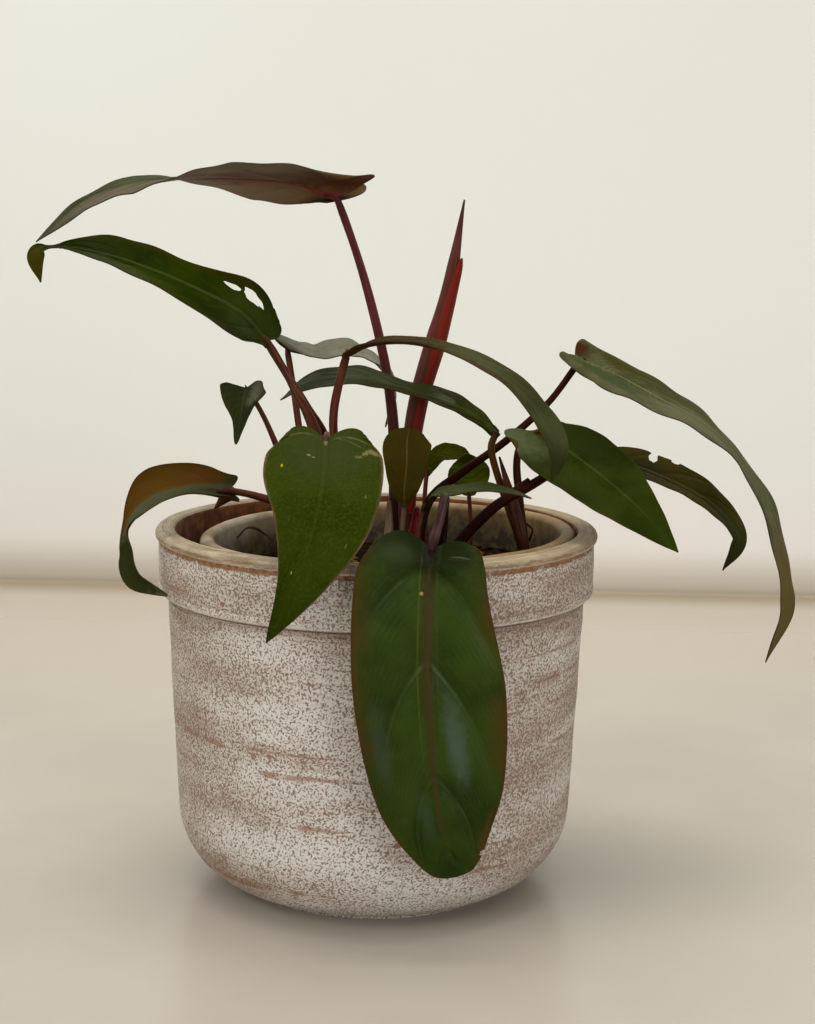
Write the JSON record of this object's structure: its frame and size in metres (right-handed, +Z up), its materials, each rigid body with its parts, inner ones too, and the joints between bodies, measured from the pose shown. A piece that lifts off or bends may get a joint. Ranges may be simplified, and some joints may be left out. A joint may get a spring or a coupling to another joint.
{
  "type": "potted red emerald philodendron",
  "caption": "Leafy foliage plant with long red-stalked, glossy dark green leaves, one rolled new leaf, in an inner pot set in a round speckled cachepot.",
  "frame": {"origin": "centre of the outer pot's underside", "axes": "+Z up along the outer pot's axis, front of the plant towards -Y, long leaf towards +X"},
  "size_m": [0.3612, 0.2257, 0.3435],
  "materials": {
    "glaze": "matt speckled glaze over brown clay",
    "cream_clay": "stained cream clay",
    "soil": "dark crumbly potting soil",
    "blade": "waxy dark green leaf",
    "petiole": "smooth maroon stalk",
    "new_leaf": "satin red rolled leaf",
    "sheath": "dry reddish brown sheath",
    "red_sheath": "dark crimson sheath",
    "pale_sheath": "dry tan sheath",
    "root": "thin dark root"
  },
  "bodies": {
    "root": {"outer_pot": "glaze", "inner_pot": "cream_clay", "potting_soil": "soil", "new_leaf": "new_leaf", "new_leaf_flap": "new_leaf", "sheath_left": "sheath", "sheath_right": "sheath", "sheath_red": "red_sheath", "sheath_pale": "pale_sheath", "root_left": "root", "root_right": "root", "leaf_high_left": "blade", "petiole_high_left": "petiole", "leaf_long_left": "blade", "petiole_long_left": "petiole", "leaf_small_left": "blade", "petiole_small_left": "petiole", "leaf_low_left": "blade", "petiole_low_left": "petiole", "leaf_front_left": "blade", "petiole_front_left": "petiole", "leaf_front_middle": "blade", "petiole_front_middle": "petiole", "leaf_arching": "blade", "petiole_arching": "petiole", "leaf_back_left": "blade", "petiole_back_left": "petiole", "leaf_middle": "blade", "petiole_middle": "petiole", "leaf_long_right": "blade", "petiole_long_right": "petiole", "leaf_right_middle": "blade", "petiole_right_middle": "petiole", "leaf_right_torn": "blade", "petiole_right_torn": "petiole", "leaf_small_centre": "blade", "petiole_small_centre": "petiole", "leaf_back_centre": "blade", "petiole_back_centre": "petiole", "leaf_back_right": "blade", "petiole_back_right": "petiole", "leaf_narrow_front": "blade", "petiole_narrow_front": "petiole"}
  },
  "joints": []
}
